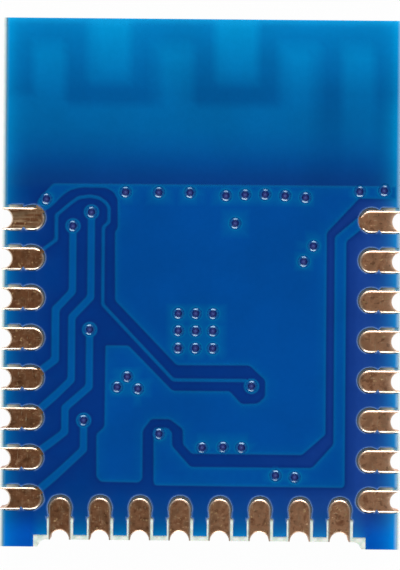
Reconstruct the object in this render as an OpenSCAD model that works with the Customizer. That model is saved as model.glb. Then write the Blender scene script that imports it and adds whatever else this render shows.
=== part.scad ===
// Castellated radio module, lying on its component side with the solder side facing +Z.
// Millimetres. The origin is under the middle of the board, on the plane the tallest part rests on.
// +Y is the antenna end.

/* [Board] */
// Pitch of the edge terminals
pitch = 1.5; // [1.4:0.05:1.8]
// Side edge to the middle of the nearest end terminal
side_margin = 2.25; // [2.2:0.05:2.8]
// Length of the antenna end, which has no copper on the solder side
antenna_l = 6.2; // [5:0.1:8]
// Edge of the copper to the middle of the first side terminal
first_row = 1.35; // [1.25:0.05:1.7]
// Middle of the last side terminal to the tips of the corner tabs
corner_l = 1.8; // [1.75:0.05:2.5]
// Thickness of the laminate
board_t = 0.8; // [0.6:0.1:1.6]
// Depth of the milled step between the corner tabs
step_d = 0.27; // [0.16:0.01:0.34]
// Width of a corner tab
tab_w = 1.4; // [1.2:0.05:1.6]
// Radius that the milling cutter leaves in the step's corners
cutter_r = 0.35; // [0.35:0.05:0.6]

/* [Terminals] */
// Width of a terminal pad
pad_w = 0.82; // [0.7:0.01:0.95]
// Length of a terminal pad from the board's edge to its round tip
pad_l = 1.57; // [1.45:0.01:1.8]
// Diameter of the plated half-hole
hole_d = 0.72; // [0.5:0.01:0.74]
// Thickness of the plating in the half-hole
plating_t = 0.04; // [0.03:0.005:0.06]

/* [Copper] */
// Thickness of the copper foil
copper_t = 0.035; // [0.025:0.005:0.05]
// Width of the signal tracks on the solder side
track_w = 0.3; // [0.2:0.01:0.36]
// Width of the narrow tracks
fine_w = 0.15; // [0.1:0.01:0.2]
// Gap between the copper and the side edges
copper_margin = 0.22; // [0.15:0.01:0.3]

/* [Antenna] */
// Width of the antenna strip
antenna_w = 0.55; // [0.4:0.01:0.7]
// Width of the antenna's folds between strip middles
fold_w = 2.5; // [2.2:0.05:2.6]
// Gap between the folds, from strip middle to strip middle
fold_gap = 2.2; // [1.8:0.05:2.3]
// Far edge of the board to the strip
antenna_top = 0.3; // [0.2:0.05:0.6]
// Depth of the antenna's folds between strip middles
fold_d = 2.2; // [1.6:0.05:2.6]

/* [Vias] */
// Diameter of a drilled via
via_d = 0.34; // [0.3:0.01:0.38]
// Diameter of the copper ring round a via
ring_d = 0.62; // [0.54:0.01:0.68]
// Thickness of a via's plating
via_plating = 0.03; // [0.02:0.005:0.04]
// Pitch of the thermal vias
thermal_pitch = 0.65; // [0.6:0.01:0.75]
// Depth to which the solder mask fills a via
plug_d = 0.12; // [0.08:0.01:0.2]
// Diameter of the dimple over a via
dimple_w = 0.46; // [0.4:0.01:0.52]
// Depth of the dimple's sloping rim
dimple_rim = 0.015; // [0.01:0.001:0.018]
// Diameter of the pit in the dimple
pit_w = 0.26; // [0.2:0.01:0.27]
// Depth of the pit
pit_d = 0.07; // [0.05:0.005:0.09]
// Diameter of the pit's floor
pit_floor = 0.14; // [0.08:0.01:0.18]

/* [Solder mask] */
// Thickness of the mask over copper
mask_over = 0.03; // [0.02:0.005:0.035]
// Height by which the mask drops beside copper
mask_drop = 0.015; // [0.01:0.001:0.018]
// Gap between a terminal pad and the mask
mask_gap = 0.085; // [0.06:0.005:0.1]
// Length of the square part of the mask's opening round a terminal
mask_neck = 0.87; // [0.8:0.01:0.95]
// Slant of the opening's corners where the square part meets the round one
mask_slant = 0.1; // [0.05:0.01:0.15]
// Distance from the side edges to the mask
mask_margin = 0.11; // [0.08:0.01:0.16]
// Distance from the milled step to the mask
mask_step = 0.14; // [0.1:0.01:0.2]
// Drift of the mask to the right of the copper
mask_dx = 0.02; // [0:0.005:0.05]
// Drift of the mask towards the antenna
mask_dy = 0.04; // [0:0.005:0.06]

/* [Chip] */
// Side of the square radio chip
chip_w = 4; // [3.5:0.05:4.4]
// Height of the chip
chip_h = 0.85; // [0.75:0.05:1]
// Pitch of the chip's leads
lead_pitch = 0.4; // [0.38:0.01:0.42]
// Width of a lead
lead_w = 0.2; // [0.16:0.01:0.23]
// Length of a lead under the chip
lead_l = 0.4; // [0.3:0.01:0.45]
// Thickness of the leads and of the chip's centre pad
lead_t = 0.2; // [0.15:0.01:0.25]
// Side of the chip's centre pad
centre_w = 2.6; // [2.2:0.05:2.7]
// Diameter of the dot that marks the first lead
dot_d = 0.4; // [0.3:0.05:0.6]
// Depth of the dot
dot_depth = 0.03; // [0.02:0.005:0.05]

/* [Crystal] */
// Length of the crystal's package
crystal_w = 2; // [1.8:0.05:2.1]
// Width of the crystal's package
crystal_l = 1.6; // [1.5:0.05:1.7]
// Height of the ceramic base
base_h = 0.32; // [0.25:0.01:0.4]
// Height of the lid
lid_h = 0.2; // [0.15:0.01:0.25]
// Thickness of the lid's welded rim
rim_t = 0.07; // [0.05:0.01:0.1]
// Width of the lid's welded rim
rim_w = 0.18; // [0.12:0.01:0.25]
// Distance from the base's edge to the lid
lid_inset = 0.1; // [0.06:0.01:0.15]
// Radius of the corner notches in the base
notch_r = 0.16; // [0.1:0.01:0.2]
// Gap between the chip and the crystal
crystal_gap = 0.34; // [0.3:0.01:0.45]

/* [Small parts] */
// Length of a small capacitor, resistor or inductor
part_l = 1; // [0.9:0.05:1.1]
// Width of a small capacitor, resistor or inductor
part_w = 0.5; // [0.4:0.01:0.56]
// Height of a small capacitor or inductor
part_h = 0.5; // [0.4:0.01:0.6]
// Height of the resistor
resistor_h = 0.35; // [0.3:0.01:0.4]
// Length of the metal ends
end_l = 0.25; // [0.15:0.01:0.3]
// Amount by which the metal ends stand proud of the body
end_proud = 0.015; // [0.01:0.005:0.03]
// Length of the bulk capacitor
bulk_l = 1.6; // [1.4:0.05:1.75]
// Width of the bulk capacitor
bulk_w = 0.8; // [0.7:0.05:0.95]
// Height of the bulk capacitor
bulk_h = 0.8; // [0.6:0.05:0.95]
// Length of the bulk capacitor's metal ends
bulk_end = 0.35; // [0.25:0.01:0.45]
// Gap between neighbouring parts
part_gap = 0.25; // [0.2:0.01:0.3]
// Gap between the chip and the supply capacitors
supply_gap = 0.95; // [0.8:0.05:1]

/* [Solder] */
// Thickness of the solder under the parts
solder_t = 0.04; // [0.03:0.005:0.06]
// Reach of a solder fillet beyond a part
toe = 0.2; // [0.12:0.01:0.24]
// Share of a part's height that its fillets climb
fillet_climb = 0.6; // [0.4:0.05:0.8]

/* [Hidden] */
$fn = 48;
eps = 0.02;
rows = 8;
leads = 8;

span = (rows - 1) * pitch;
board_w = span + 2 * side_margin;
board_l = antenna_l + first_row + span + corner_l;
top_y = board_l / 2;
copper_y = top_y - antenna_l;
row_y = copper_y - first_row;
step_y = step_d - board_l / 2;
step_half = board_w / 2 - tab_w;
mask_base = copper_t + mask_over - mask_drop;
mask_top = copper_t + mask_over;
hole_r = hole_d / 2;
drill_r = hole_r + plating_t;
bore_r = via_d / 2 - via_plating;

crystal_h = base_h + lid_h;
chip_gap = mask_gap / 3;
stand_off = max(solder_t, mask_over);
seat_z = max(chip_h, crystal_h, part_h, bulk_h);
low_z = seat_z + stand_off + copper_t;
high_z = low_z + board_t;

// A place on the layout, in pitches across from the first end terminal and down from the first side one.
function at(c, r) = [(c - (rows - 1) / 2) * pitch, row_y - r * pitch];
// Middle of the round end of a side terminal
function left_pad(i) = [pad_l - pad_w / 2 - board_w / 2, row_y - i * pitch];
function right_pad(i) = [board_w / 2 - pad_l + pad_w / 2, row_y - i * pitch];
function end_pad(i) = [at(i, 0).x, step_y + pad_l - pad_w / 2];

// Outline of a strip of constant width along a path, with mitred bends
function unit(v) = v / norm(v);
function side(a, b) = let(d = unit(b - a)) [-d.y, d.x];
function mitre(p, i) =
  i == 0 ? side(p[0], p[1]) :
  i == len(p) - 1 ? side(p[i - 1], p[i]) :
  let(a = side(p[i - 1], p[i]), b = side(p[i], p[i + 1])) (a + b) / (1 + a * b);
function strip(p, w) = concat(
  [for (i = [0:len(p) - 1]) p[i] + mitre(p, i) * w / 2],
  [for (i = [len(p) - 1:-1:0]) p[i] - mitre(p, i) * w / 2]);

chip_at = at(3.36, 2.77);
chip_half = chip_w / 2;
feed_x = fold_w + fold_gap;

// Solder-side layout
edge_vias = [
  at(-0.4, -0.5), at(1.58, -0.69), at(2.41, -0.69), at(3.19, -0.69), at(4.09, -0.62),
  at(4.57, -0.65), at(5.07, -0.66), at(5.57, -0.63), at(6.08, -0.59), at(7.44, -0.75), at(8.05, -0.78)];
crystal_vias = [at(4.33, 0.07), at(6.29, 0.62), at(6.05, 1.01)];
corner_vias = [at(1.66, 3.93), at(1.41, 4.19), at(1.93, 4.23)];
end_vias = [at(3.55, 5.69), at(4.07, 5.67), at(4.53, 5.68)];
ground_vias = concat(edge_vias, crystal_vias, corner_vias, end_vias);
thermal_vias = [for (i = [-1:1], j = [-1:1]) chip_at + [i, j] * thermal_pitch];
supply_vias = [at(2.47, 5.35), at(5.39, 6.37), at(5.87, 6.41)];
signal_vias = [at(0.27, 0.17), at(0.73, -0.18), at(0.71, 2.76), at(0.58, 5.03), at(4.77, 4.14)];
vias = concat(ground_vias, thermal_vias, supply_vias, signal_vias);
crystal_at = [
  (crystal_vias[0].x + crystal_vias[2].x) / 2,
  chip_at.y + chip_half + crystal_gap + crystal_l / 2];

ground_outline = [
  at(-0.24, -0.9), [board_w / 2 - copper_margin, copper_y], [board_w / 2 - copper_margin, at(0, -0.56).y],
  at(7.43, -0.57), at(6.63, 0.29), at(6.64, 5.34), at(6.05, 5.86), at(3.29, 5.85),
  at(3.06, 5.61), at(3.05, 5.23), at(2.73, 4.99), at(2.28, 4.99), at(2.07, 5.27),
  at(2.07, 6.49), at(1.97, 6.58), at(1.02, 6.57), at(0.9, 6.44), at(0.89, 5.37),
  at(1.09, 5.18), at(1.1, 3.14), at(1.69, 3.14), at(2.8, 4.26), at(4.23, 4.26),
  at(4.53, 4.58), at(4.93, 4.56), at(5.1, 4.4), at(5.1, 3.99), at(4.71, 3.63),
  at(2.89, 3.64), at(1.33, 2.03), at(1.31, 0.31), at(1.38, 0.2), at(1.37, -0.5),
  at(1.27, -0.68), at(1.09, -0.78), at(0.56, -0.79), at(0.38, -0.77), at(0.19, -0.71), at(0.06, -0.62),
  at(-0.06, -0.51), at(-0.28, -0.27), left_pad(0), at(-0.62, -0.48)];
supply_outline = [
  at(6.81, 0.38), at(7.41, -0.13), right_pad(0), at(7.43, 0.25), at(7.12, 0.5), at(7.13, 6.61),
  at(7.08, 6.67), at(2.38, 6.65), at(2.33, 6.57), at(2.32, 5.25), at(2.37, 5.19), at(2.69, 5.19),
  at(2.8, 5.31), at(2.81, 5.65), at(3.27, 6.16), at(6.3, 6.16), at(6.82, 5.58)];
tracks = [
  [left_pad(1), at(-0.14, 0.52), at(-0.14, -0.1), at(0.21, -0.4), at(0.41, -0.54), at(0.69, -0.58),
   at(0.91, -0.54), at(1.09, -0.42), at(1.17, -0.29), at(1.17, 0.06), at(1.03, 0.2), at(1.03, 2.13),
   at(2.81, 4), at(4.61, 4), signal_vias[4]],
  [signal_vias[0], at(0.27, 1.81), at(-0.14, 2.25), at(-0.14, 3.52), left_pad(4)],
  [signal_vias[1], at(0.73, 1.95), at(0.26, 2.45), at(0.26, 4.02), left_pad(5)],
  [signal_vias[2], at(0.71, 4.19), at(0.11, 4.72), at(0.11, 5.32), left_pad(6)],
  [signal_vias[3], at(0.58, 5.76), left_pad(7)]];
track_vias = [signal_vias[4], signal_vias[0], signal_vias[1], signal_vias[2], signal_vias[3]];
track_widths = [fine_w, track_w, track_w, track_w, track_w];

// Small parts: middle and turn
supply_y = chip_at.y - chip_half - supply_gap - part_l / 2;
corner_x = chip_at.x - chip_half - 2 * part_gap - part_w / 2;
inductor_at = [feed_x, copper_y - part_gap - part_l / 2];
capacitors = [
  [[chip_at.x + 0.35, supply_y], 90],
  [[chip_at.x + 0.35 + part_w + part_gap, supply_y], 90],
  [[chip_at.x + 0.35 + 2 * (part_w + part_gap), supply_y], 90],
  [[corner_x, chip_at.y - 1.2], 90],
  [[corner_x - part_w - part_gap, chip_at.y - 1.6], 90],
  [crystal_at - [crystal_w / 2 + part_gap + toe + part_l / 2, 0.1], 0],
  [crystal_at + [crystal_w / 4, crystal_l / 2 + part_gap + part_w / 2], 0],
  [[feed_x + 0.15, crystal_vias[2].y], 0]];
resistor_at = chip_at + [-1.6, chip_half + 0.9];
bulk_at = at(5.66, 5.81);

// Component-side layout: a lead's pad tip, sides counted right, antenna end, left, terminal end
function lead_at(s, i, r) = chip_at + (
  s == 0 ? [r, (3.5 - i) * lead_pitch] : s == 1 ? [(i - 3.5) * lead_pitch, r] :
  s == 2 ? [-r, (3.5 - i) * lead_pitch] : [(i - 3.5) * lead_pitch, -r]);
lead_tip = chip_half + toe / 2;
function tip(s, i) = lead_at(s, i, lead_tip);
function stub(s, i, r) = lead_at(s, i, chip_half + r);
routes = [
  [tip(0, 0), stub(0, 0, 1.6), capacitors[7][0] + [part_l / 2, 0],
   [capacitors[7][0].x + part_l / 2, inductor_at.y - 0.9], inductor_at - [0, part_l / 2]],
  [tip(0, 1), stub(0, 1, 1.6), [5.5, right_pad(1).y - 0.62], right_pad(1)],
  [tip(0, 2), stub(0, 2, 1.6), [4.8, right_pad(2).y], right_pad(2)],
  [tip(0, 3), stub(0, 3, 1), [4.8, right_pad(3).y], right_pad(3)],
  [tip(0, 4), stub(0, 4, 1), [4.8, right_pad(4).y], right_pad(4)],
  [tip(0, 5), stub(0, 5, 0.9), [4.9, chip_at.y - 2.5], [4.9, end_pad(7).y + 1], end_pad(7)],
  [tip(0, 6), stub(0, 6, 0.7), [4.45, chip_at.y - 2.6], [4.45, end_pad(6).y + 1.2], end_pad(6)],
  [tip(0, 7), stub(0, 7, 0.3), signal_vias[4] + [0.55, 0.4], signal_vias[4] + [0.55, -0.4],
   [2.08, chip_at.y - 2.9], [2.08, end_pad(5).y + 0.8], end_pad(5)],
  [capacitors[7][0] - [part_l / 2, 0], crystal_vias[2]],
  [tip(1, 7), stub(1, 7, 0.45), crystal_at - [crystal_w, crystal_l] * 0.33],
  [tip(1, 6), stub(1, 6, 0.4), capacitors[5][0] + [part_l / 2, 0]],
  [capacitors[5][0] - [part_l / 2, 0], [capacitors[5][0].x - part_l / 2, copper_y - 0.6]],
  [crystal_at + [crystal_w, crystal_l] * 0.33, capacitors[6][0] - [part_l / 2, 0]],
  [capacitors[6][0] + [part_l / 2, 0], [capacitors[6][0].x + part_l / 2, copper_y - 0.6]],
  [tip(1, 2), stub(1, 2, 0.6), resistor_at + [part_l / 2, 0]],
  [tip(2, 0), stub(2, 0, 0.5), [signal_vias[1].x, chip_at.y + 2.7], signal_vias[1]],
  [tip(2, 1), stub(2, 1, 0.8), [signal_vias[0].x, chip_at.y + 2.8], signal_vias[0]],
  [tip(2, 2), stub(2, 2, 1.1), [-4, left_pad(2).y], left_pad(2)],
  [tip(2, 3), stub(2, 3, 1.5), signal_vias[2]],
  [tip(2, 4), stub(2, 4, 0.9), [-3.6, left_pad(3).y - 0.25], [-5, left_pad(3).y - 0.25], left_pad(3)],
  [tip(2, 5), stub(2, 5, 0.4), capacitors[3][0] + [0, part_l / 2]],
  [tip(3, 0), stub(3, 0, 0.6), [-2.4, signal_vias[3].y], signal_vias[3]],
  [tip(3, 1), stub(3, 1, 0.6), [-2.6, chip_at.y - 4], [-4.6, chip_at.y - 4], [end_pad(0).x, chip_at.y - 4.7],
   end_pad(0)],
  [tip(3, 2), stub(3, 2, 2.4), [-1.6, chip_at.y - 5.2], [-3.2, chip_at.y - 5.2], end_pad(1)],
  [tip(3, 3), stub(3, 3, 2.8), [-1.1, chip_at.y - 5.5], [-1.8, chip_at.y - 5.5], end_pad(2)],
  [tip(3, 4), stub(3, 4, 0.4), capacitors[0][0] + [0, part_l / 2]],
  [tip(3, 5), stub(3, 5, 0.4), capacitors[1][0] + [0, part_l / 2]],
  [tip(3, 6), stub(3, 6, 0.35), capacitors[2][0] + [0, part_l / 2]],
  [tip(3, 7), signal_vias[4]]];

fold_top = top_y - antenna_top - antenna_w / 2;
fold_low = fold_top - fold_d;
antenna_path = [
  [-feed_x - fold_gap, fold_low], [-feed_x - fold_gap, fold_top], [-feed_x, fold_top], [-feed_x, fold_low],
  [-fold_gap, fold_low], [-fold_gap, fold_top], [0, fold_top], [0, fold_low],
  [fold_w, fold_low], [fold_w, fold_top], [feed_x + fold_gap, fold_top], [feed_x + fold_gap, copper_y]];
feed_path = [[feed_x, fold_top], [feed_x, inductor_at.y + part_l / 2 + toe]];

// Ground areas of the component side
edge_x = board_w / 2 - copper_margin;
ground_areas = [
  [[-edge_x, copper_y], [feed_x - 0.5, copper_y], [feed_x - 0.5, copper_y - 0.75], at(1.21, -0.35),
   at(1.01, -0.55), at(0, -0.52), at(-0.24, -0.33), [-edge_x, copper_y - 0.8]],
  [[feed_x + 0.5, copper_y], [edge_x, copper_y], [edge_x, copper_y - 0.5], [feed_x + 0.5, copper_y - 0.5]],
  [at(3.44, 5.44), at(4.71, 5.44), at(4.71, 6.69), at(3.44, 6.69)],
  [at(0.86, 3.95), at(2.16, 3.85), at(2.16, 4.45), at(0.86, 4.4)]];

// Places a terminal drawn with its edge at x = 0 and its length along +X
module on_left(i) translate([-board_w / 2, row_y - i * pitch]) children();
module on_right(i) translate([board_w / 2, row_y - i * pitch]) rotate(180) children();
module on_end(i) translate([at(i, 0).x, step_y]) rotate(90) children();
module every_terminal() {
  for (i = [0:rows - 1]) {
    on_left(i) children();
    on_right(i) children();
    on_end(i) children();
  }
}

// Places a part on the component side, drawn standing on z = 0
module mounted(p, turn = 0) translate([p.x, p.y, seat_z]) mirror([0, 0, 1]) rotate(turn) children();

module pad_shape() {
  translate([0, -pad_w / 2]) square([pad_l - pad_w / 2, pad_w]);
  translate([pad_l - pad_w / 2, 0]) circle(d = pad_w);
}

// Opening of the mask round a terminal: a square part and a round one, with a waist between them
module opening_shape() {
  half = pad_w / 2 + mask_gap;
  polygon([[-1, -half], [mask_neck - mask_slant, -half], [mask_neck, mask_slant - half],
           [mask_neck, half - mask_slant], [mask_neck - mask_slant, half], [-1, half]]);
  translate([pad_l - pad_w / 2, 0]) circle(r = half);
}

module all_pads() every_terminal() pad_shape();
module pad_bars(h) every_terminal() {
  translate([0, -pad_w / 2, 0]) cube([pad_l - pad_w / 2, pad_w, h]);
  translate([pad_l - pad_w / 2, 0, 0]) cylinder(h = h, d = pad_w);
}

module mask_openings() translate([mask_dx, mask_dy]) every_terminal() opening_shape();

module via_holes(points = vias, d = via_d) for (p = points) translate(p) circle(d = d);

// Board outline between the tabs, with the round corners of the cutter
module step_shape(back = 0) {
  translate([-step_half + back, -board_l]) square([2 * (step_half - back), board_l + step_y]);
}

module milled_step() {
  translate([-step_half + cutter_r, -board_l]) square([2 * (step_half - cutter_r), board_l + step_y]);
  for (s = [-1, 1]) translate([s * (step_half - cutter_r), step_y - cutter_r]) circle(r = cutter_r);
}

module laminate() color([0.85, 0.84, 0.78]) translate([0, 0, low_z]) linear_extrude(board_t) difference() {
  translate([-board_w / 2, -board_l / 2]) square([board_w, board_l]);
  milled_step();
  every_terminal() circle(r = drill_r);
  via_holes();
}

module ground_shape() difference() {
  polygon(ground_outline);
  on_left(0) pad_shape();
  via_holes(concat(ground_vias, thermal_vias));
}

module supply_shape() difference() {
  polygon(supply_outline);
  on_right(0) pad_shape();
  via_holes(supply_vias);
}

module bar(path, w, h) linear_extrude(h) polygon(strip(path, w));
module ring(p, h, d = ring_d) translate(p) cylinder(h = h, d = d);

module track_bar(k, h) {
  bar(tracks[k], track_widths[k], h);
  ring(track_vias[k], h);
}

// Copper of the solder side as solid areas of height h, with the vias still filled
module solder_side_copper(h) {
  linear_extrude(h) polygon(ground_outline);
  linear_extrude(h) polygon(supply_outline);
  for (k = [0:4]) track_bar(k, h);
  pad_bars(h);
}

module mask_outline() difference() {
  translate([-board_w / 2 + mask_margin + mask_dx, -board_l / 2]) square([board_w - 2 * mask_margin, board_l]);
  translate([0, mask_step + mask_dy]) step_shape(-mask_step);
}

// Solder mask on a face at z = 0: raised copper, its pocket and the openings are the three children
module mask_film(points = vias) difference() {
  union() {
    linear_extrude(mask_base) mask_outline();
    children(0);
    for (p = points) translate([p.x, p.y, -plug_d]) cylinder(h = plug_d + mask_top, r = bore_r);
  }
  difference() {
    translate([0, 0, -eps]) children(1);
    for (p = points) translate([p.x, p.y, -1]) cylinder(h = 2, r = bore_r);
  }
  translate([0, 0, -eps]) linear_extrude(mask_top + 2 * eps) children(2);
  for (p = points) translate([p.x, p.y, mask_top]) {
    translate([0, 0, -dimple_rim]) cylinder(h = 2 * dimple_rim, d1 = pit_w, d2 = 2 * dimple_w - pit_w);
    translate([0, 0, -dimple_rim - pit_d]) cylinder(h = pit_d + eps, d1 = pit_floor, d2 = pit_w);
  }
}

module solder_side_mask() color([0.02, 0.28, 0.6]) translate([0, 0, high_z]) mask_film() {
  solder_side_copper(mask_top);
  solder_side_copper(copper_t + eps);
  mask_openings();
}

module component_side_mask() color([0.02, 0.25, 0.55]) translate([0, 0, low_z]) mirror([0, 0, 1])
  mask_film(concat(ground_vias, supply_vias, signal_vias)) {
  covered_copper(mask_top);
  covered_copper(copper_t + eps);
  union() {
    mask_openings();
    part_openings();
  }
}

module foil(z) translate([0, 0, z]) linear_extrude(copper_t) children();

module ground_copper() color([0.72, 0.5, 0.32]) foil(high_z) ground_shape();
module supply_copper() color([0.72, 0.5, 0.32]) foil(high_z) supply_shape();
module track(k) color([0.72, 0.5, 0.32]) translate([0, 0, high_z]) difference() {
  track_bar(k, copper_t);
  translate([0, 0, -eps]) linear_extrude(copper_t + 2 * eps) {
    for (i = [1, 4, 5, 6, 7]) on_left(i) pad_shape();
    translate(track_vias[k]) circle(d = via_d);
  }
}

module antenna_bar(h) {
  bar(antenna_path, antenna_w, h);
  bar(feed_path, antenna_w, h);
}

module antenna() color([0.72, 0.5, 0.32]) translate([0, 0, low_z - copper_t]) antenna_bar(copper_t);

// Copper lands under the parts
module chip_lands(grow = 0) {
  for (s = [0:3]) translate(chip_at) rotate(90 * s) for (i = [0:leads - 1])
    translate([chip_half - lead_l - grow, (i - 3.5) * lead_pitch - lead_w / 2 - grow])
      square([lead_l + toe + 2 * grow, lead_w + 2 * grow]);
  translate(chip_at) square(centre_w + 2 * grow, center = true);
}

module lands(l, w, e, grow = 0) for (s = [-1, 1]) translate([s * (l / 2 + (toe - e) / 2), 0])
  square([e + toe + 2 * grow, w + 2 * grow], center = true);

module crystal_lands(grow = 0) translate(crystal_at) for (x = [-1, 1], y = [-1, 1])
  translate([x * crystal_w * 0.33, y * crystal_l * 0.31])
    square([crystal_w * 0.34 + 2 * grow, crystal_l * 0.34 + 2 * grow], center = true);

module small_lands(grow = 0) {
  for (c = capacitors) translate(c[0]) rotate(c[1]) lands(part_l, part_w, end_l, grow);
  translate(inductor_at) rotate(90) lands(part_l, part_w, end_l, grow);
  translate(resistor_at) lands(part_l, part_w, end_l, grow);
  translate(bulk_at) lands(bulk_l, bulk_w, bulk_end, grow);
}

module part_lands(grow = 0) {
  chip_lands(grow);
  crystal_lands(grow);
  small_lands(grow);
}

// Openings round the lands; the leads of one chip side share one
module part_openings() {
  for (s = [0:3]) translate(chip_at) rotate(90 * s)
    translate([chip_half - lead_l - chip_gap, -(leads - 1) / 2 * lead_pitch - lead_w / 2 - chip_gap])
      square([lead_l + toe + 2 * chip_gap, (leads - 1) * lead_pitch + lead_w + 2 * chip_gap]);
  translate(chip_at) square(centre_w + 2 * chip_gap, center = true);
  crystal_lands(mask_gap);
  small_lands(mask_gap);
}

// Component-side copper that the mask covers, as solid areas of height h
module covered_tracks(h) {
  for (p = routes) bar(p, fine_w, h);
  for (p = concat(crystal_vias, corner_vias, end_vias, supply_vias, signal_vias)) ring(p, h);
  for (p = ground_areas) linear_extrude(h) polygon(p);
}

module covered_copper(h) {
  covered_tracks(h);
  antenna_bar(h);
  pad_bars(h);
}

module component_side_tracks() color([0.72, 0.5, 0.32]) translate([0, 0, low_z - copper_t]) difference() {
  union() {
    covered_tracks(copper_t);
    linear_extrude(copper_t) part_lands();
  }
  translate([0, 0, -eps]) linear_extrude(copper_t + 2 * eps) {
    all_pads();
    via_holes();
  }
}

module barrels(points) color([0.76, 0.56, 0.38]) translate([0, 0, low_z - copper_t])
  linear_extrude(board_t + 2 * copper_t) difference() {
    via_holes(points);
    via_holes(points, 2 * bore_r);
  }

// One plated terminal: both pads and the half-round wall that joins them
module terminal() color([0.68, 0.5, 0.36]) {
  for (z = [low_z - copper_t, high_z]) translate([0, 0, z]) linear_extrude(copper_t) difference() {
    pad_shape();
    circle(r = drill_r);
  }
  translate([0, 0, low_z - copper_t]) linear_extrude(board_t + 2 * copper_t) difference() {
    intersection() {
      circle(r = drill_r);
      translate([0, -drill_r]) square(2 * drill_r);
    }
    circle(r = hole_r);
  }
}

module chip_body() color([0.1, 0.1, 0.11]) mounted(chip_at) difference() {
  translate([-chip_half, -chip_half, 0]) cube([chip_w, chip_w, chip_h]);
  lead_blocks();
  translate([0.7 * chip_half, 0.7 * chip_half, chip_h - dot_depth]) cylinder(h = 1, d = dot_d);
}

module lead_blocks() {
  for (s = [0:3]) rotate(90 * s) for (i = [0:leads - 1])
    translate([chip_half - lead_l, (i - 3.5) * lead_pitch - lead_w / 2, 0]) cube([lead_l, lead_w, lead_t]);
  translate([-centre_w / 2, -centre_w / 2, 0]) cube([centre_w, centre_w, lead_t]);
}

module chip_leads() color([0.78, 0.78, 0.76]) mounted(chip_at) lead_blocks();

module crystal_base() color([0.2, 0.18, 0.17]) mounted(crystal_at) difference() {
  translate([-crystal_w / 2, -crystal_l / 2, 0]) cube([crystal_w, crystal_l, base_h]);
  for (x = [-1, 1], y = [-1, 1]) translate([x * crystal_w / 2, y * crystal_l / 2, -1])
    cylinder(h = base_h + 2, r = notch_r);
}

module crystal_lid() color([0.8, 0.79, 0.75]) mounted(crystal_at) {
  translate([lid_inset - crystal_w / 2, lid_inset - crystal_l / 2, base_h])
    cube([crystal_w - 2 * lid_inset, crystal_l - 2 * lid_inset, rim_t]);
  translate([lid_inset + rim_w - crystal_w / 2, lid_inset + rim_w - crystal_l / 2, base_h])
    cube([crystal_w - 2 * (lid_inset + rim_w), crystal_l - 2 * (lid_inset + rim_w), lid_h]);
}

// Body and metal ends of a two-ended part, standing on z = 0
module part_body(l, w, h, e) translate([e - l / 2, end_proud - w / 2, end_proud])
  cube([l - 2 * e, w - 2 * end_proud, h - 2 * end_proud]);
module part_ends(l, w, h, e) for (x = [-l / 2, l / 2 - e]) translate([x, -w / 2, 0]) cube([e, w, h]);

module capacitor_bodies() color([0.72, 0.6, 0.45])
  for (c = capacitors) mounted(c[0], c[1]) part_body(part_l, part_w, part_h, end_l);
module capacitor_ends() color([0.8, 0.8, 0.79])
  for (c = capacitors) mounted(c[0], c[1]) part_ends(part_l, part_w, part_h, end_l);
module bulk_capacitor_body() color([0.62, 0.47, 0.33]) mounted(bulk_at) part_body(bulk_l, bulk_w, bulk_h, bulk_end);
module bulk_capacitor_ends() color([0.8, 0.8, 0.79]) mounted(bulk_at) part_ends(bulk_l, bulk_w, bulk_h, bulk_end);
module inductor_body() color([0.85, 0.87, 0.88]) mounted(inductor_at, 90) part_body(part_l, part_w, part_h, end_l);
module inductor_ends() color([0.8, 0.8, 0.79]) mounted(inductor_at, 90) part_ends(part_l, part_w, part_h, end_l);
module resistor_body() color([0.08, 0.08, 0.09]) mounted(resistor_at) part_body(part_l, part_w, resistor_h, end_l);
module resistor_ends() color([0.8, 0.8, 0.79]) mounted(resistor_at) part_ends(part_l, part_w, resistor_h, end_l);

// Solder between a land and a metal end, with the fillet that climbs the end
module joint_pair(l, w, h, e) for (s = [0, 180]) rotate(s) {
  translate([l / 2 - e, -w / 2, -stand_off]) cube([e + toe, w, stand_off]);
  translate([l / 2, w / 2, 0]) rotate([90, 0, 0]) linear_extrude(w)
    polygon([[0, 0], [toe, 0], [toe / 3, h * fillet_climb / 3], [0, h * fillet_climb]]);
}

module solder_joints() color([0.74, 0.75, 0.76]) {
  for (c = capacitors) mounted(c[0], c[1]) joint_pair(part_l, part_w, part_h, end_l);
  mounted(inductor_at, 90) joint_pair(part_l, part_w, part_h, end_l);
  mounted(resistor_at) joint_pair(part_l, part_w, resistor_h, end_l);
  mounted(bulk_at) joint_pair(bulk_l, bulk_w, bulk_h, bulk_end);
  translate([0, 0, seat_z]) linear_extrude(stand_off) {
    chip_lands();
    crystal_lands();
  }
}

laminate();
solder_side_mask();
component_side_mask();
ground_copper();
supply_copper();
track(0);  // track_to_left_2
track(1);  // track_to_left_5
track(2);  // track_to_left_6
track(3);  // track_to_left_7
track(4);  // track_to_left_8
component_side_tracks();
antenna();
barrels(ground_vias);
barrels(thermal_vias);
barrels(supply_vias);
barrels(signal_vias);
for (i = [1:rows]) on_left(i - 1) terminal();
for (i = [1:rows]) on_end(i - 1) terminal();
for (i = [1:rows]) on_right(i - 1) terminal();
chip_body();
chip_leads();
crystal_base();
crystal_lid();
capacitor_bodies();
capacitor_ends();
bulk_capacitor_body();
bulk_capacitor_ends();
inductor_body();
inductor_ends();
resistor_body();
resistor_ends();
solder_joints();
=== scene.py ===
"""Looks of the castellated radio module: blue film over copper, plated terminals, parts on the far face."""

import logging
import math
from dataclasses import dataclass, field
from enum import Enum
from typing import Protocol

import bmesh
import bpy
import numpy as np
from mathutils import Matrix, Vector
from mathutils.bvhtree import BVHTree
from mathutils.geometry import delaunay_2d_cdt


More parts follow.
